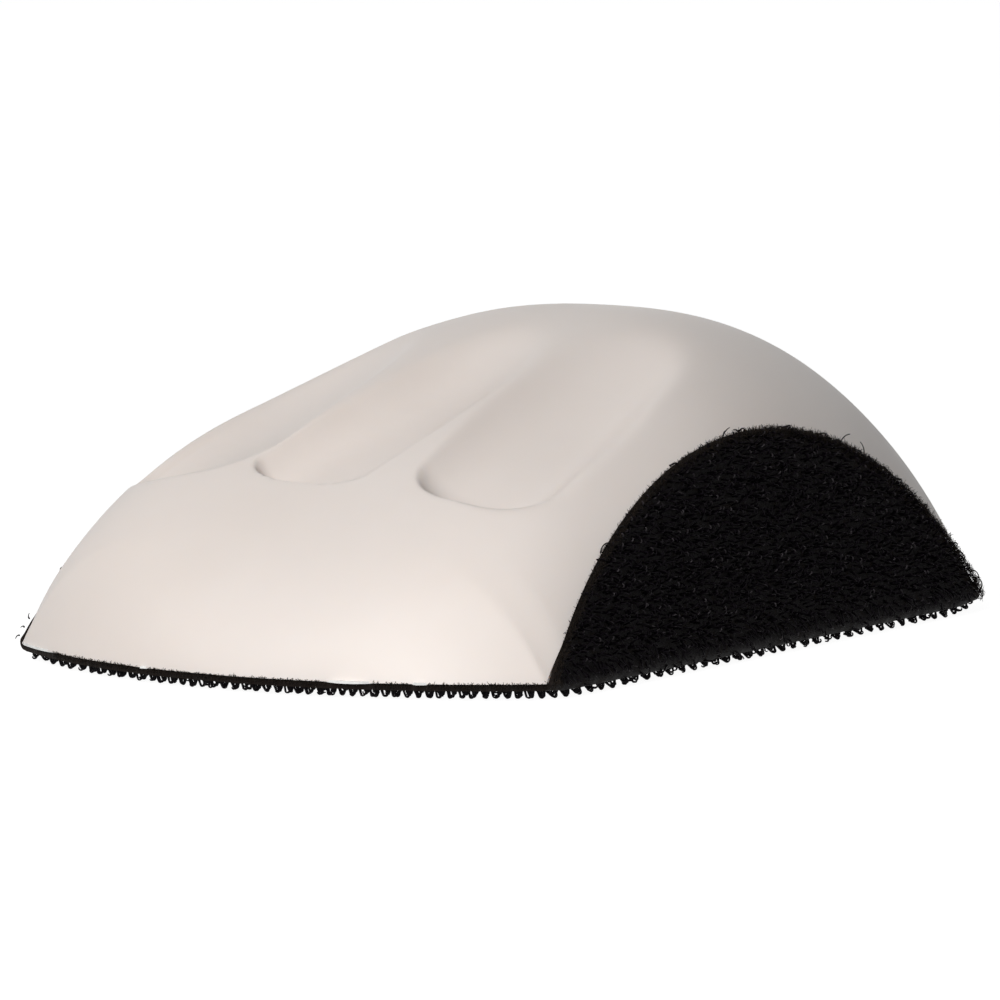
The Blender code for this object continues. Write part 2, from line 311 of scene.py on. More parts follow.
fibreLook = dict(
    black=(0.004, 0.003, 0.003),
    pale=(0.022, 0.015, 0.010),
    paleFrom=0.2,
    roughness=(0.5, 0.75),
    specular=0.1,
)


filmLook = dict(colour=(0.93, 0.93, 0.91), duller=0.85, smearScale=700, roughness=(0.22, 0.34))


def filmMaterial(values):
    material, nodes, links, shader = newMaterial("paleAdhesive")
    place = nodes.new("ShaderNodeTexCoord").outputs["Object"]
    smear = noiseNode(nodes, links, place, values["smearScale"])
    dull = tuple(values["duller"] * c for c in values["colour"])
    colour = rampNode(nodes, links, smear.outputs["Fac"], tuple(zip(noiseSpan, (dull, values["colour"]))))
    links.new(colour.outputs["Color"], shader.inputs["Base Color"])
    links.new(rangeNode(nodes, links, smear.outputs["Fac"], *noiseSpan, *values["roughness"]),
              shader.inputs["Roughness"])
    return material


foam = foamMaterial(foamLook)
weave = weaveMaterial(weaveLook)
nylon = nylonMaterial("blackNylon", hookLook)
fibre = nylonMaterial("brownFibre", fibreLook)
adhesive = filmMaterial(filmLook)
print("materials made")


# The foam block

dome = dict(
    crownHeight=0.0447,
    crownSetback=0.0188,  # behind the middle of the base
    front=dict(slopeDeg=75.7, edgePull=0.61, crownPull=0.16),
    back=dict(slopeDeg=86.8, edgePull=0.62, crownPull=0.56),
    shoulderPlaces=(-1.0, -0.64, -0.21, 0.32, 1.0),  # shares of the radius, from front to back
    shoulderPowers=(3.6, 5.6, 3.42, 2.67, 2.86),
    columns=280,
    rows=350,
    crowding=(0.3, 0.4),  # of columns towards the sides, and of rows towards the front and the back
    easing=24,  # how often rows are averaged with their neighbours
    easedBeyond=(0.25, 0.08),  # full easing starts this far in from the sides, and from the front and the back
)
rim = dict(
    overhang=0.00075,  # how far the foam stands out round each side's sheet
    clearance=0.00025,  # from the sheet's cut edge
    reach=0.43,  # share of the half width over which the overhang fades inwards
    taper=0.0060,  # rise over the fold at which it has its full height
)
# start is a scoop's front end and end its back end, bow how far it bends to the left halfway between them, and
# depth what it has at the front and at the back. Its front end is rounded over the length of tip. The powers
# give the outline of the tip and how full the walls are
scoops = dict(
    left=dict(start=(-0.0294, -0.0474), end=(-0.0252, 0.0050), bow=0.0001, depth=(0.0067, 0.0067),
              tip=0.0130, tipPower=2.13,
              leftWidth=0.0112, leftPower=1.85, rightWidth=0.0150, rightPower=2.16),
    middle=dict(start=(-0.0080, -0.0482), end=(-0.0003, 0.0039), bow=-0.0026, depth=(0.0046, 0.0052),
                tip=0.0049, tipPower=2.06,
                leftWidth=0.0084, leftPower=2.22, rightWidth=0.0121, rightPower=2.16),
    right=dict(start=(0.0246, -0.0496), end=(0.0200, 0.0093), bow=-0.0013, depth=(0.0056, 0.0050),
               tip=0.0094, tipPower=2.19,
               leftWidth=0.0120, leftPower=2.00, rightWidth=0.0095, rightPower=2.31),
    fadePower=3.4,
    floorPower=(1.6, 1.1),  # at the front and further back; over 1 makes walls steeper and the floor flatter
    sideFade=0.06,  # share of the half width over which the scoops fade out at the sides
)
# how soft the scoops' rims are
softness = dict(
    front=0.00022,
    back=0.0008,
    frontY=-0.049,  # from here the rims soften, over a length of run
    run=0.054,
    right=0.0012,  # the front of the right scoop's right rim is softer by this
    rightFromX=0.022,  # it grows from here, over rightRunX
    rightRunX=0.010,
    rightUntilY=-0.010,  # it fades before this, over rightRunY
    rightRunY=0.020,
)

foamRadius = discRadius + rim["clearance"]


def sideRise(y):
    # a side is a segment of the round plan: it rises over the fold by the circle's half chord less the
    # fold's distance from the middle
    return np.maximum(np.sqrt(np.maximum(foamRadius**2 - y**2, 0)) - halfWidth, 0)


def halfProfile(form, run):
    # a cubic Bezier curve from the base's edge to the crown, steep at the edge and level at the crown
    t = np.linspace(0, 1, 400)
    slope, pull = math.radians(form["slopeDeg"]), form["edgePull"] * dome["crownHeight"]
    nearEdge, nearCrown = 3 * t * (1 - t) ** 2, 3 * t**2 * (1 - t)
    inwards = nearEdge * pull * math.cos(slope) + nearCrown * (1 - form["crownPull"]) * run + t**3 * run
    upwards = nearEdge * pull * math.sin(slope) + (nearCrown + t**3) * dome["crownHeight"]
    return inwards, upwards


def crownLine(y):
    setback = dome["crownSetback"]
    front = halfProfile(dome["front"], foamRadius + setback)
    back = halfProfile(dome["back"], foamRadius - setback)
    return np.where(y < setback, np.interp(foamRadius + y, *front), np.interp(foamRadius - y, *back))


def shoulderPower(y):
    places, powers = discRadius * np.array(dome["shoulderPlaces"]), dome["shoulderPowers"]
    power = np.full_like(y, powers[0])
    for i in range(len(places) - 1):
        power += (powers[i + 1] - powers[i]) * smoothStep((y - places[i]) / (places[i + 1] - places[i]))
    return power


def scoopDepth(x, y, form):
    # depth times one less a power of what is missing: the fading end, the walls and the rounded tip together
    (startX, startY), (endX, endY) = form["start"], form["end"]
    runX, runY = endX - startX, endY - startY
    length = math.hypot(runX, runY)
    along = ((x - startX) * runX + (y - startY) * runY) / length
    across = ((x - startX) * runY - (y - startY) * runX) / length
    across = across + form["bow"] * 4 * (along / length) * (1 - along / length)
    onRight = across > 0
    width = np.where(onRight, form["rightWidth"], form["leftWidth"])
    walls = (np.abs(across) / width) ** np.where(onRight, form["rightPower"], form["leftPower"])
    fade = np.clip((along - form["tip"]) / (length - form["tip"]), 0, 1.6) ** scoops["fadePower"]
    tip = (np.clip(form["tip"] - along, 0, None) / form["tip"]) ** form["tipPower"]
    front, back = scoops["floorPower"]
    power = front + (back - front) * smoothStep((along - 0.5 * form["tip"]) / (0.5 * length))
    atFront, atBack = form["depth"]
    depth = atFront + (atBack - atFront) * np.clip(along / length, 0, 1)
    return depth * (1 - (fade + walls + tip) ** power)


def carvedDepth(x, y):
    # a soft maximum of the three scoops and of nothing, so that crests stand between them. It is crisper at
    # the front
    front, back = softness["front"], softness["back"]
    soft = front + (back - front) * smoothStep((y - softness["frontY"]) / softness["run"])
    atRight = smoothStep((x - softness["rightFromX"]) / softness["rightRunX"])
    atFront = smoothStep((softness["rightUntilY"] - y) / softness["rightRunY"])
    soft = soft + softness["right"] * atRight * atFront
    depth = 0
    for name in ("left", "middle", "right"):
        depth = np.logaddexp(depth, scoopDepth(x, y, scoops[name]) / soft)
    return soft * depth


def foamMesh():
    # the plan has four corners: rows are arcs from side to side, columns run from the front arc to the back
    # arc. Each cross-section is 1 - |share|^power between its springing on the sides and the crown line. Round
    # each side the foam then stands out a little, and steps back down to the flat that carries the sheet
    across = crowdedSteps(dome["columns"], dome["crowding"][0])[None, :]
    along = crowdedSteps(dome["rows"], dome["crowding"][1])[:, None]
    y = along * np.sqrt(foamRadius**2 - (halfWidth * across) ** 2)
    rise = sideRise(y)
    rise[[0, -1]] = 0
    lean = leanAt(across)
    x = across * (halfWidth - rise * np.sin(lean))
    overEnds = np.sqrt(np.maximum(foamRadius**2 - y**2, 1e-12))
    reach = np.where(rise > 0, halfWidth - rise * np.sin(lean), overEnds)
    share = np.clip(np.abs(x) / reach, 0, 1)
    spring = rise * np.cos(lean)
    z = spring + (crownLine(y) - spring) * (1 - share ** shoulderPower(y))
    z[:, [0, -1]] = spring[:, [0, -1]]
    z[[0, -1]] = 0
    # ease the faint crease that the plan's corners send across, away from the edges
    fromSides, fromEnds = dome["easedBeyond"]
    inner = smoothStep((1 - np.abs(across)) / fromSides) * smoothStep((1 - np.abs(along)) / fromEnds)
    for _ in range(dome["easing"]):
        z[1:-1] += inner[1:-1] * ((z[:-2] + 2 * z[1:-1] + z[2:]) / 4 - z[1:-1])
    z -= carvedDepth(x, y) * smoothStep((1 - np.abs(across)) / scoops["sideFade"])
    flatSides = np.stack((x[:, [0, -1]], y[:, [0, -1]], z[:, [0, -1]]), -1)
    out = rim["overhang"] * smoothStep(rise / rim["taper"])
    out = out * smoothStep((np.abs(across) - 1) / rim["reach"] + 1)
    x = x + np.sign(across) * out * np.cos(lean)
    z = z + out * np.sin(lean)
    points = np.stack(np.broadcast_arrays(x, y, z), -1).reshape(-1, 3)
    points = np.concatenate((points, flatSides[1:-1, 0], flatSides[1:-1, 1])) + (0, 0, block["underside"])
    rows, columns = dome["rows"], dome["columns"]
    number = np.arange(rows * columns).reshape(rows, columns)
    faces = gridQuads(rows, columns).tolist()
    faces.append(np.concatenate((number[0, ::-1], number[-1])).tolist())
    stepLeft, stepRight = rows * columns + np.arange(2 * (rows - 2)).reshape(2, -1)
    for edge, step in ((number[:, 0], stepLeft), (number[::-1, -1], stepRight[::-1])):
        # the step has one point fewer at each end, where the overhang has faded to nothing
        faces += np.stack((edge[1:-2], step[:-1], step[1:], edge[2:-1]), -1)[:, ::-1].tolist()
        faces += [[edge[1], step[0], edge[0]], [edge[-1], step[-1], edge[-2]]]
        faces.append([edge[0], *step, edge[-1]])
    return meshFromFaces("foamBlock", points, faces, sharpDeg=35)


foamBlock = addObject("foamBlock", foamMesh(), "grip_body", slot="cream_foam", material=foam)
print("foam block:", len(foamBlock.data.vertices), "points")


# The folded hook disc: film, backing and hooks

fold = dict(
    radius=0.0004,
    bendSteps=8,
    flatSteps=50,
    sideSteps=60,
    acrossSteps=26,
    shortestChord=0.0003,  # the sheets' outermost columns are not quite points
    edgePower=40,  # how close to the cut edge a sheet's own edge form is felt
)


def foldFrame(s):
    # s runs over the flat disc from side to side. It is level under the base, turns on a small radius at the
    # fold and then runs up the leaning side. Gives the place on the foam and the outward direction in X and Z
    size, sign = np.abs(s), np.sign(s)
    radius, foldAngle = fold["radius"], math.pi / 2 + leanAt(s)
    tangent = radius * np.tan(foldAngle / 2)
    turn = np.clip((size - halfWidth + tangent) / (2 * tangent), 0, 1) * foldAngle
    flat = np.minimum(size, halfWidth - tangent)
    up = np.maximum(size - halfWidth - tangent, 0)
    x = flat + radius * np.sin(turn) + up * np.cos(foldAngle)
    z = radius - radius * np.cos(turn) + up * np.sin(foldAngle)
    return sign * x, z, sign * np.sin(turn), -np.cos(turn)


def onDisc(s, y, offset):
    # a point of the flat disc, lifted by an offset from the foam, in the block's frame
    x, z, outX, outZ = foldFrame(s)
    return np.stack(np.broadcast_arrays(x + outX * offset, y, z + outZ * offset + block["underside"]), -1)


def sheetColumns():
    # places across the flat disc, closer together in the bends and towards the tops of the sides
    halves = []
    for sign in (-1, 1):
        tangent = fold["radius"] * math.tan(math.pi / 4 + float(leanAt(sign)) / 2)
        flat = np.linspace(0, halfWidth - tangent, fold["flatSteps"])
        bend = np.linspace(halfWidth - tangent, halfWidth + tangent, fold["bendSteps"] + 1)[1:]
        up = np.sin(np.linspace(0, math.pi / 2, fold["sideSteps"]))[1:] * (discRadius - halfWidth - tangent)
        halves.append(sign * np.concatenate((flat, bend, halfWidth + tangent + up)))
    return np.concatenate((halves[0][:0:-1], halves[1]))


def foldedSheetMesh(name, inner, outer, edgeRadius):
    # a closed skin round a folded disc: each column is a loop, out along the inner face, over the cut edge and
    # back along the outer face, whose offset depends on the place. edgeRadius gives the disc's radius for an
    # angle round its middle
    s = sheetColumns()[:, None]
    t = np.linspace(-1, 1, fold["acrossSteps"])
    loopT = np.concatenate((t, t[::-1]))[None, :]
    chord = np.sqrt(np.maximum(discRadius**2 - s**2, fold["shortestChord"] ** 2))
    y = loopT * chord
    offset = np.hstack((np.full((len(s), len(t)), inner), outer(s, y[:, len(t):])))
    grow = edgeRadius(np.arctan2(y, s)) / discRadius
    share = np.clip(np.hypot(s, y) / discRadius, 0, 1) ** fold["edgePower"]
    scale = 1 + (grow - 1) * share
    points = onDisc(s * scale, y * scale, offset)
    rows, columns = points.shape[:2]
    number = np.arange(rows * columns).reshape(rows, columns)
    faces = gridQuads(rows, columns, wrapColumns=True)[:, ::-1].tolist()
    faces += [number[0].tolist(), number[-1, ::-1].tolist()]
    mesh = meshFromFaces(name, points.reshape(-1, 3), faces, sharpDeg=40)
    flatPlace = np.stack(np.broadcast_arrays(s * scale, y * scale), -1).reshape(-1, 2)
    corners = np.zeros(len(mesh.loops), np.int32)
    mesh.loops.foreach_get("vertex_index", corners)
    layer = mesh.uv_layers.new(name="flatDisc")
    layer.uv.foreach_set("vector", flatPlace[corners].astype(np.float32).ravel())
    return mesh


film = dict(inner=-0.00022, outer=0.00012, inset=0.0003)
# where it was squeezed out past the disc's edge: angle, half width in degrees, and how far
filmBeads = ((-123.0, 5.5, 0.00072), (-74.7, 2.3, 0.00135), (-66.9, 0.8, 0.00100), (-101, 0.6, 0.00095),
             (64, 1.8, 0.00105), (152, 1.4, 0.00100))


def filmEdge(angle):
    # the film ends inside the disc's edge, apart from the beads; each bulges like a bell and ends thin
    reach = 0 * angle
    for middleDeg, widthDeg, out in filmBeads:
        away = (np.degrees(angle) - middleDeg + 180) % 360 - 180
        reach = np.maximum(reach, out * np.exp(-np.abs(away / widthDeg) ** 3))
    return discRadius - film["inset"] + reach


filmMesh = foldedSheetMesh("adhesiveFilm", film["inner"], lambda s, y: film["outer"] + 0 * y, filmEdge)
addObject("adhesiveFilm", filmMesh, "adhesive_film", slot="pale_adhesive", material=adhesive)

backing = dict(
    inner=0.00013,  # offsets from the foam
    outer=0.00076,
    baseOuter=0.00100,
    baseStep=0.002,  # within this of a fold it goes from one to the other
    foldFill=0.0006,
    fillReach=(0.003, 0.0015),  # from the fold, on the base and on the side
    fillFade=0.006,  # before the ends of a fold
    ripple=0.00006,
    rippleWaves=(211, 97),
)


def backingFace(s, y):
    # how far the hooked face is from the foam: the cloth is fuller under the base than on the sides, and
    # fullest beside the folds, but not at their ends
    inwards = halfWidth - np.abs(s)
    base = smoothStep(inwards / backing["baseStep"] + 0.5)
    return backing["outer"] + (backing["baseOuter"] - backing["outer"]) * base + foldFill(s, y)


def foldFill(s, y):
    # what the cloth bulges out beside a fold
    inwards = halfWidth - np.abs(s)
    fromEnd = math.sqrt(discRadius**2 - halfWidth**2) - np.abs(y)
    onBase, onSide = backing["fillReach"]
    besideFold = smoothStep(1 - inwards / onBase) * smoothStep(1 + inwards / onSide)
    return backing["foldFill"] * besideFold * smoothStep(fromEnd / backing["fillFade"])


def backingEdge(angle):
    # the cut edge of woven cloth: a ripple with each bundle of threads
    fine, coarse = backing["rippleWaves"]
    return discRadius + backing["ripple"] * (np.sin(angle * fine) + 0.6 * np.sin(angle * coarse + 1))


backingMesh = foldedSheetMesh("discBacking", backing["inner"], backingFace, backingEdge)
discBacking = addObject("discBacking", backingMesh, "hook_disc_backing", slot="black_weave", material=weave)
print("film and backing made")

hooks = dict(
    height=0.00160,  # from backing to the top of the crook, under the base
    heightSpread=0.12,
    crook=0.00026,
    crookSpread=0.18,
    sweepDeg=(150, 225),
    rootWire=1.5,  # a hook is thicker at its root than in its crook, as shares of its wire
    tipWire=0.62,
    aside=0.00062,  # roots stand aside of their row by turns, and the stems lean back over it
    fan=0.0034,  # within this distance of a fold the hooks lean out over it
    edgeBand=0.0045,
    rings=9,
    stemRings=3,
    sides=3,
    sunk=0.0002,
    splayBand=0.0012,
    lowest=1.25,  # of the wire, over the floor
    paintedGlintPower=6,  # the higher, the fewer hooks get a painted glint
    seed=7,
)
# the pile under the base stands in rows; that of the folded sides is finer and ruffled, and has the stronger
# painted glint
basePile = dict(
    wire=0.00016, rowPitch=0.00156, hookPitch=0.00150, rowTurnDeg=30,
    margin=0.0010,  # bare cloth along the cut edge
    shift=0.00010,  # how far roots stray from the lattice
    edgeHeight=0.68,  # share of the height that hooks have at the edge
    fanDeg=42, turnSpreadDeg=14, leanSpreadDeg=6, splayDeg=0,
    paintedGlint=0.4,  # the strongest painted glint on this pile, as a shade
)
sidePile = dict(
    wire=0.00011, rowPitch=0.00102, hookPitch=0.00098, rowTurnDeg=12,
    margin=0.0002, shift=0.00040, edgeHeight=0.80,
    fanDeg=60, turnSpreadDeg=75, leanSpreadDeg=15, splayDeg=24, paintedGlint=1,
)
leftPile = dict(sidePile, margin=0.0016, edgeHeight=0.15, splayDeg=0)  # the foam's rim hides it


def hookRoots(pile):
    # a lattice of rows turned against the block, kept inside the disc's bare edge. Gives the places on the flat
    # disc, and which way each hook faces: neighbours along a row face opposite ways
    count = math.ceil(2 * discRadius / pile["rowPitch"])
    row, place = np.meshgrid(np.arange(-count, count + 1), np.arange(-count, count + 1), indexing="ij")
    turn = math.radians(pile["rowTurnDeg"])
    out, alongRow = row * pile["rowPitch"], (place + 0.5 * (row % 2)) * pile["hookPitch"]
    s = out * math.cos(turn) - alongRow * math.sin(turn)
    y = out * math.sin(turn) + alongRow * math.cos(turn)
    facing = np.where(place % 2 == 0, 1.0, -1.0)
    keep = np.hypot(s, y) < discRadius - pile["margin"]
    return s[keep], y[keep], facing[keep]


def tubesOnPaths(paths, sideways, radii, sides):
    # many thin tubes at once. paths is tube by ring by 3, sideways a unit vector for each tube that its path
    # never runs along. Each ring is a regular polygon square to the path. Gives points and triangles, with
    # closed ends
    ahead = np.gradient(paths, axis=1)
    ahead /= np.linalg.norm(ahead, axis=2, keepdims=True)
    side = np.broadcast_to(sideways[:, None, :], paths.shape)
    inner = np.cross(ahead, side)
    inner /= np.linalg.norm(inner, axis=2, keepdims=True)
    side = np.cross(inner, ahead)
    angle = np.arange(sides) * 2 * math.pi / sides
    ring = np.cos(angle)[:, None] * inner[:, :, None, :] + np.sin(angle)[:, None] * side[:, :, None, :]
    points = paths[:, :, None, :] + radii[:, :, None, None] * ring
    tubes, rings = paths.shape[:2]
    one = gridQuads(rings, sides, wrapColumns=True)
    one = np.concatenate((one[:, [0, 1, 2]], one[:, [0, 2, 3]]))
    last = (rings - 1) * sides
    startCap = [[0, i + 1, i] for i in range(1, sides - 1)]
    endCap = [[last, last + i, last + i + 1] for i in range(1, sides - 1)]
    one = np.concatenate((one, np.array(startCap + endCap)))
    faces = one[None] + (np.arange(tubes) * rings * sides)[:, None, None]
    return points.reshape(-1, 3), faces.reshape(-1, 3)


def addShade(mesh, shade):
    attribute = mesh.attributes.new("shade", "FLOAT", "POINT")
    attribute.data.foreach_set("value", np.asarray(shade, np.float32))


def discDirections(s):
    # unit vectors on the folded disc at s: across it, along the folds, and out of it
    x, z, outX, outZ = foldFrame(s)
    zero = 0 * outX
    outward = np.stack((outX, zero, outZ), -1)
    across = np.stack((-outZ, zero, outX), -1)
    lengthways = np.stack((zero, zero + 1, zero), -1)
    return across, lengthways, outward


def hookMesh(name, roots, pile, values, rng):
    # a hook is a straight stem that leans over its row and a crook that turns back over half a circle or more
    s, y, facing = roots
    count = len(s)
    s = s + rng.uniform(-1, 1, count) * pile["shift"]
    y = y + rng.uniform(-1, 1, count) * pile["shift"]
    edge = np.maximum(discRadius - pile["margin"] - np.hypot(s, y), 0)
    full = pile["edgeHeight"] + (1 - pile["edgeHeight"]) * smoothStep(edge / values["edgeBand"])
    shorter = 1 - values["heightSpread"] * rng.uniform(0, 1, count) ** 2
    height = values["height"] * full * shorter - foldFill(s, y)
    crook = values["crook"] * (1 + values["crookSpread"] * rng.uniform(-1, 1, count))
    sweep = np.radians(rng.uniform(*values["sweepDeg"], count))
    turn = math.radians(pile["rowTurnDeg"]) + np.radians(pile["turnSpreadDeg"]) * rng.normal(0, 1, count)
    lean = np.radians(pile["leanSpreadDeg"]) * rng.normal(0, 1, count)
    stem = np.linspace(0, 1, values["stemRings"])[None, :]
    bend = np.linspace(0, 1, values["rings"] - values["stemRings"] + 1)[None, 1:] * sweep[:, None]
    top = (height - crook)[:, None]
    outwards = np.hstack((stem * (top + values["sunk"]) - values["sunk"], top + crook[:, None] * np.sin(bend)))
    stemAside = -values["aside"] + stem * (values["aside"] - crook[:, None])
    sidewards = np.hstack((stemAside, -crook[:, None] * np.cos(bend)))
    sidewards = sidewards + outwards * np.tan(lean)[:, None]
    across, lengthways, outward = discDirections(s)
    # close to a fold the hooks fan out over it, and close to the cut edge they splay out past it
    fromFold = np.abs(s) - halfWidth
    fan = np.radians(pile["fanDeg"]) * np.clip(1 - np.abs(fromFold) / values["fan"], 0, 1)
    overFold = -np.sign(fromFold) * np.sign(s) * np.tan(fan)
    splayed = rng.uniform(-0.3, 1, count) * np.exp(-edge / values["splayBand"])
    splay = np.tan(np.radians(pile["splayDeg"]) * splayed)
    outward = outward + overFold[:, None] * across
    outward = outward + (splay / discRadius)[:, None] * (s[:, None] * across + y[:, None] * lengthways)
    outward = outward / np.linalg.norm(outward, axis=1, keepdims=True)
    ahead = (facing * np.cos(turn))[:, None] * across + (facing * np.sin(turn))[:, None] * lengthways
    sideways = np.cross(outward, ahead)
    sideways = sideways / np.linalg.norm(sideways, axis=1, keepdims=True)
    ahead = np.cross(sideways, outward)
    root = onDisc(s, y, backingFace(s, y))
    paths = root[:, None] + sidewards[..., None] * ahead[:, None] + outwards[..., None] * outward[:, None]
    paths[..., 2] = np.maximum(paths[..., 2], pile["wire"] * values["lowest"])
    thinning = np.linspace(values["rootWire"], values["tipWire"], values["rings"])
    radii = pile["wire"] * thinning * np.ones((count, 1))
    points, faces = tubesOnPaths(paths, sideways, radii, values["sides"])
    mesh = meshFromFaces(name, points, faces)
    # stems stay dull and black, and only a few crooks get a painted glint: a paler colour, with a lower
    # roughness
    onCrook = np.arange(values["rings"]) >= values["stemRings"]
    shade = pile["paintedGlint"] * (rng.uniform(0, 1, count) ** values["paintedGlintPower"])[:, None] * onCrook
    addShade(mesh, np.repeat(shade.ravel(), values["sides"]))
    return mesh


baseRoots, sideRoots, leftRoots = (np.array(hookRoots(pile)) for pile in (basePile, sidePile, leftPile))
onBase = np.abs(baseRoots[0]) < halfWidth
hookAreas = [
    ("baseHooksFront", baseRoots[:, onBase & (baseRoots[1] < 0)], basePile, ()),
    ("baseHooksBack", baseRoots[:, onBase & (baseRoots[1] >= 0)], basePile, ("base_hooks",)),
    ("rightSideHooks", sideRoots[:, sideRoots[0] >= halfWidth], sidePile, ("right_side_hooks",)),
    ("leftSideHooks", leftRoots[:, leftRoots[0] <= -halfWidth], leftPile, ("left_side_hooks",)),
]
for index, (name, roots, pile, nodes) in enumerate(hookAreas):
    mesh = hookMesh(name, roots, pile, hooks, np.random.default_rng(hooks["seed"] + index))
    addObject(name, mesh, *nodes, slot="black_hooks", material=nylon)
    print(name, "has", roots.shape[1], "hooks and", len(mesh.polygons), "triangles")


# Fibres round the cut edge of the disc

hairTip = 0.45  # a hair's thickness at its tip, as a share
fuzz = dict(
    radius=0.00005,
    curlDeg=(30, 160),
    startSpreadDeg=42,
    planeSpread=1.2,  # radians
    endOffset=(-0.0001, 0.8 * backing["outer"]),  # of roots from the foam, on the round ends
    sideOffset=(0.0002, 0.0009),  # of roots over the backing, on the sides
    sideInset=0.0005,
    rings=5,
    sides=3,
    seed=21,
)
# between two angles round the disc: how many hairs and how long. riseDeg turns those of the round ends up
# the foam
fuzzAreas = [
    ("frontFuzz", dict(fromDeg=-126.9, toDeg=-53.1, count=2400, length=(0.00022, 0.00046), riseDeg=38)),
    ("backFuzz", dict(fromDeg=53.1, toDeg=126.9, count=1800, length=(0.00022, 0.00046), riseDeg=38)),
    ("rightFuzz", dict(fromDeg=-53.1, toDeg=53.1, count=6400, length=(0.00045, 0.00120), riseDeg=0)),
    ("leftFuzz", dict(fromDeg=126.9, toDeg=175, count=500, length=(0.00015, 0.00035), riseDeg=0)),
]
# the longer stray fibres: angle round the disc, length, start direction over the cut edge and how far it curls
strays = dict(radius=0.00014, rings=14, sides=4, offset=0.0005, plane=0.25, fibres=[
    (-6.4, 0.0026, 60, 50), (-5.9, 0.0014, 110, 90), (-2.7, 0.0015, 80, -120), (3.5, 0.0018, 50, 160),
    (6.8, 0.0016, 100, -150), (12.0, 0.0012, 70, 140), (17.7, 0.0018, 60, 120), (18.9, 0.0028, 75, 60),
    (23.9, 0.0024, 70, -90), (27.8, 0.0036, 60, 250), (28.6, 0.0028, 100, -260), (-33.2, 0.0062, 115, -235),
    (-31.6, 0.0026, 70, 150), (46.1, 0.0046, 55, 240), (49.6, 0.0040, 80, 210), (52.4, 0.0036, 60, -230),
    (-37.5, 0.0010, 80, 100), (-14.5, 0.0012, 85, -130), (-11.2, 0.0010, 60, 150), (33.0, 0.0014, 90, 120),
    (-137.3, 0.0009, 80, 120), (-129.9, 0.0011, 70, -90), (-128.7, 0.0009, 110, 120), (-127.6, 0.0010, 80, 140),
])


def hairPaths(angle, inset, offset, length, startTurn, curl, plane, rings):
    # a hair is an arc of a circle that starts near the disc's cut edge. startTurn and curl are angles in a
    # plane that holds the direction out over the edge and is turned about it by plane, from the cloth
    s, y = discRadius * np.cos(angle), discRadius * np.sin(angle)
    across, lengthways, outward = discDirections(s)
    ahead = np.cos(angle)[:, None] * across + np.sin(angle)[:, None] * lengthways
    beside = -np.sin(angle)[:, None] * across + np.cos(angle)[:, None] * lengthways
    aside = np.cos(plane)[:, None] * beside + np.sin(plane)[:, None] * outward
    t = np.linspace(0, 1, rings)[None, :]
    turned = startTurn[:, None] + curl[:, None] * t
    size = (length / curl)[:, None]
    forwards = size * (np.sin(turned) - np.sin(startTurn)[:, None])
    sidewards = size * (np.cos(startTurn)[:, None] - np.cos(turned))
    root = onDisc(s, y, offset) - inset[:, None] * ahead
    paths = root[:, None] + forwards[..., None] * ahead[:, None] + sidewards[..., None] * aside[:, None]
    return paths, np.cross(ahead, aside)


def hairMesh(name, paths, sideways, radius, sides, shade):
    paths[..., 2] = np.maximum(paths[..., 2], radius)
    rings = paths.shape[1]
    radii = radius * np.linspace(1, hairTip, rings) * np.ones((len(paths), 1))
    points, faces = tubesOnPaths(paths, sideways, radii, sides)
    mesh = meshFromFaces(name, points, faces)
    addShade(mesh, np.repeat(shade, rings * sides))
    return mesh


def fuzzMesh(name, area, values, rng):
    # on the sides the hairs rise from the edge of the pile, over the foam's rim; on the round ends they stand
    # on the cut edge of the cloth
    count = area["count"]
    angle = np.radians(rng.uniform(area["fromDeg"], area["toDeg"], count))
    angle = angle[filmEdge(angle) < discRadius]  # no hair stands in a bead of the film
    count = len(angle)
    onEnd = area["riseDeg"] > 0
    if onEnd:
        offset = rng.uniform(*values["endOffset"], count)
        inset = np.full(count, -rim["clearance"])
    else:
        offset = backing["outer"] + rng.uniform(*values["sideOffset"], count)
        inset = rng.uniform(0, values["sideInset"], count)
    curl = np.radians(rng.uniform(*values["curlDeg"], count)) * rng.choice((-1, 1), count)
    startTurn = np.radians(rng.normal(-area["riseDeg"], values["startSpreadDeg"], count))
    length = rng.uniform(*area["length"], count)
    plane = rng.uniform(-values["planeSpread"], values["planeSpread"], count) + (math.pi / 2 if onEnd else 0)
    paths, sideways = hairPaths(angle, inset, offset, length, startTurn, curl, plane, values["rings"])
    return hairMesh(name, paths, sideways, values["radius"], values["sides"], rng.uniform(0, 1, count))


def strayMesh(values):
    angle, length, start, curl = np.array(values["fibres"]).T
    # start is measured from the direction along the edge, so 90 points straight out over it
    startTurn = np.radians(90 - start)
    offset = np.full(len(angle), backing["outer"] + values["offset"])
    plane = np.full(len(angle), values["plane"])
    paths, sideways = hairPaths(np.radians(angle), 0 * angle, offset, length, startTurn, np.radians(curl),
                                plane, values["rings"])
    return hairMesh("strayFibres", paths, sideways, values["radius"], values["sides"], 0 * angle)


for index, (name, area) in enumerate(fuzzAreas):
    mesh = fuzzMesh(name, area, fuzz, np.random.default_rng(fuzz["seed"] + index))
    addObject(name, mesh, slot="black_weave", material=fibre)
addObject("strayFibres", strayMesh(strays), slot="black_weave", material=fibre)
print("edge fibres made")


# Floor and light

studio = dict(
    floorSize=14,
    floorColour=(0.20, 0.20, 0.20),
    floorRoughness=0.9,
    floorSpecular=0.1,
    floorGlow=0.945,  # only what the camera and reflections see
    worldStrength=0.025,
    key=dict(place=(0.38, -1.48, 0.60), size=0.8, watts=15.7),
    top=dict(place=(0.06, -1.22, 1.04), size=0.9, watts=10.8),
)


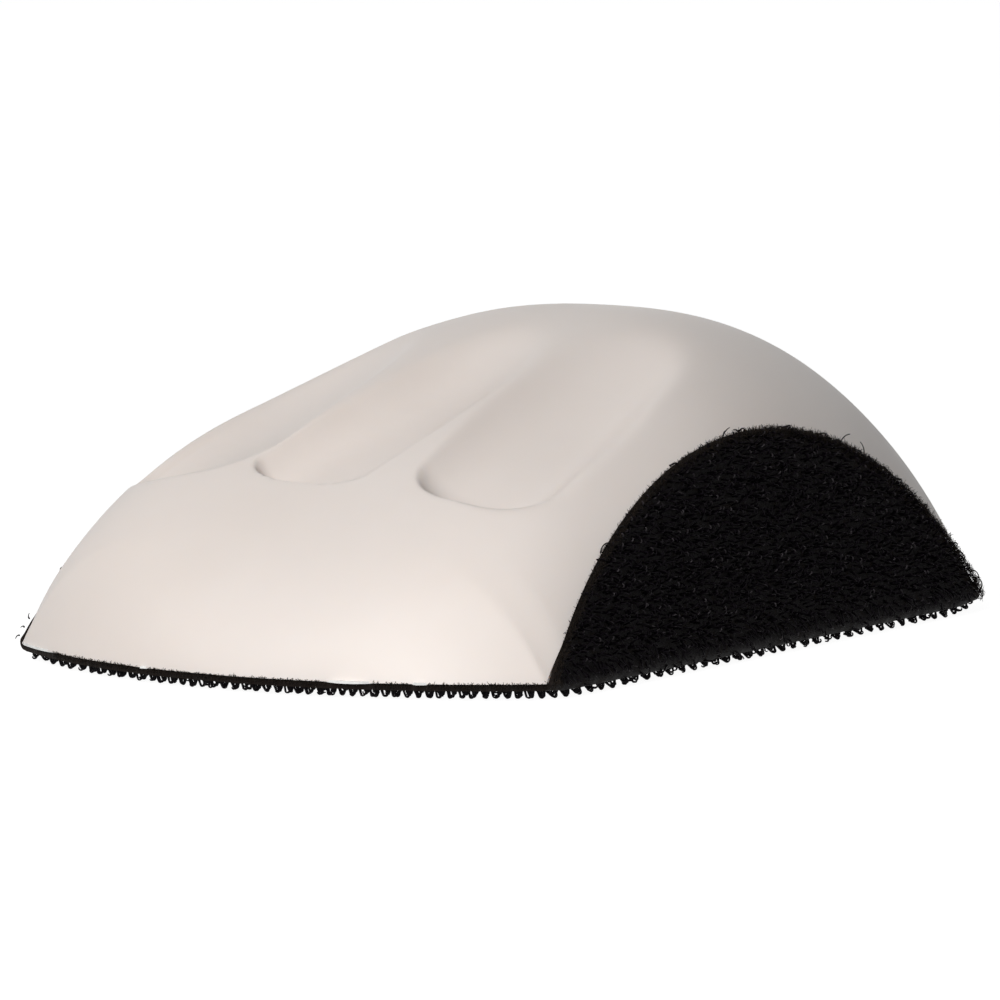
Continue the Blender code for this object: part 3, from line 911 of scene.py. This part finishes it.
def makeFloor(values):
    half = values["floorSize"] / 2
    mesh = bpy.data.meshes.new("floor")
    corners = [(-half, -half, 0), (half, -half, 0), (half, half, 0), (-half, half, 0)]
    mesh.from_pydata(corners, [], [(0, 1, 2, 3)])
    floor = bpy.data.objects.new("floor", mesh)
    bpy.context.scene.collection.objects.link(floor)
    material, nodes, links, shader = newMaterial("paleFloor")
    shader.inputs["Base Color"].default_value = (*values["floorColour"], 1)
    shader.inputs["Roughness"].default_value = values["floorRoughness"]
    shader.inputs["Specular IOR Level"].default_value = values["floorSpecular"]
    shader.inputs["Emission Color"].default_value = (1, 1, 1, 1)
    links.new(seenDirectly(nodes, links, values["floorGlow"]), shader.inputs["Emission Strength"])
    mesh.materials.append(material)


def seenDirectly(nodes, links, strength):
    # strength for camera, glossy and transmission rays, and nothing for the light on the block
    path = nodes.new("ShaderNodeLightPath")
    total = path.outputs["Is Camera Ray"]
    for name in ("Is Glossy Ray", "Is Transmission Ray"):
        both = nodes.new("ShaderNodeMath")
        both.operation = "MAXIMUM"
        links.new(total, both.inputs[0])
        links.new(path.outputs[name], both.inputs[1])
        total = both.outputs["Value"]
    scaled = nodes.new("ShaderNodeMath")
    scaled.operation = "MULTIPLY"
    scaled.inputs[1].default_value = strength
    links.new(total, scaled.inputs[0])
    return scaled.outputs["Value"]


def makeWorld(values):
    world = bpy.data.worlds.new("studio")
    bpy.context.scene.world = world
    world.use_nodes = True
    nodes, links = world.node_tree.nodes, world.node_tree.links
    light = nodes["Background"]
    light.inputs["Color"].default_value = (1, 1, 1, 1)
    direct = seenDirectly(nodes, links, 1 - values["worldStrength"])
    total = nodes.new("ShaderNodeMath")
    total.operation = "ADD"
    total.inputs[1].default_value = values["worldStrength"]
    links.new(direct, total.inputs[0])
    links.new(total.outputs["Value"], light.inputs["Strength"])


def makeSoftbox(name, place, size, watts):
    data = bpy.data.lights.new(name, "AREA")
    data.shape, data.size, data.energy = "DISK", size, watts
    lamp = bpy.data.objects.new(name, data)
    lamp.location = place
    aim = Vector(camera["lookAt"]) - Vector(place)
    lamp.rotation_mode = "QUATERNION"
    lamp.rotation_quaternion = aim.to_track_quat("-Z", "Y")
    bpy.context.scene.collection.objects.link(lamp)


makeFloor(studio)
makeWorld(studio)
makeSoftbox("keySoftbox", **studio["key"])
makeSoftbox("topSoftbox", **studio["top"])
bpy.context.scene.view_settings.view_transform = "Standard"
print("floor and lights set")
